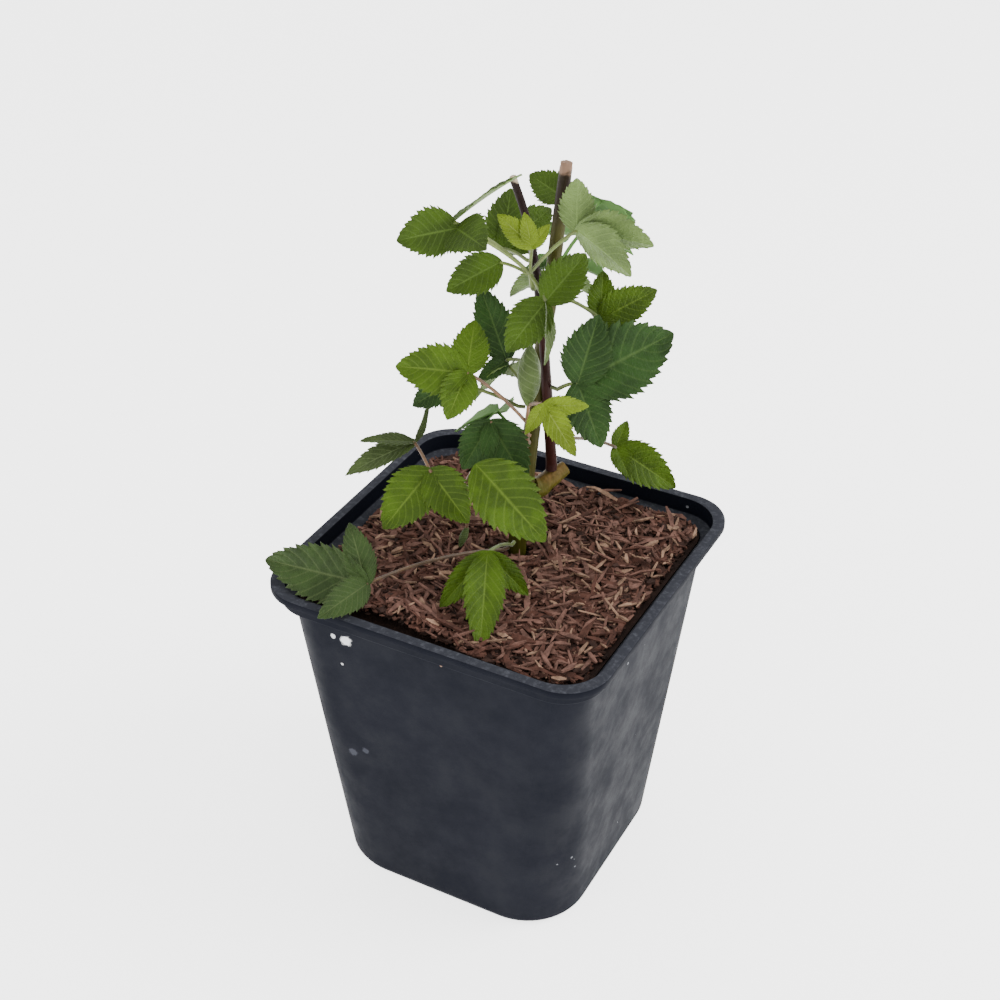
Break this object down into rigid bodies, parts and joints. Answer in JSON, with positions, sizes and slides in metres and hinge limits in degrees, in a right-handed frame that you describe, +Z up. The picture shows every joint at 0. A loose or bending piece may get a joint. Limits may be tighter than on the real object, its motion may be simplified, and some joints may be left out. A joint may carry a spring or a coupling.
{
  "type": "potted young bramble",
  "caption": "Young bramble plant with cut canes and serrated leaflets, in a tapered square plastic nursery pot filled with shredded bark.",
  "frame": {"origin": "middle of the pot's flat underside", "axes": "+Z up; X and Y are square to the pot's walls"},
  "size_m": [0.131, 0.1358, 0.2771],
  "materials": {
    "pot": "satin dark slate plastic, slightly dusty",
    "bark": "dry shredded bark",
    "cane": "olive green bark",
    "cane_dark": "dark maroon bark",
    "leaf": "pleated, satin green leaf"
  },
  "bodies": {
    "root": {"pot": "pot", "bark_fill": "bark", "cane_thick": "cane", "cane_crown": "cane", "cane_stub": "cane", "cane_thin": "cane_dark", "leaves_upper_shoot": "leaf", "leaves_upper_back": "leaf", "leaf_cane_top": "leaf", "leaves_right_young": "leaf", "leaves_right_large": "leaf", "leaves_middle_shoot": "leaf", "leaves_back_left": "leaf", "leaf_middle_left": "leaf", "leaves_left_shoot": "leaf", "leaves_front_low": "leaf", "leaves_over_left_rim": "leaf", "leaves_over_right_rim": "leaf", "leaves_far_01": "leaf", "leaves_far_02": "leaf", "leaves_far_03": "leaf", "leaves_far_04": "leaf", "leaves_far_05": "leaf", "leaves_far_06": "leaf"}
  },
  "joints": []
}
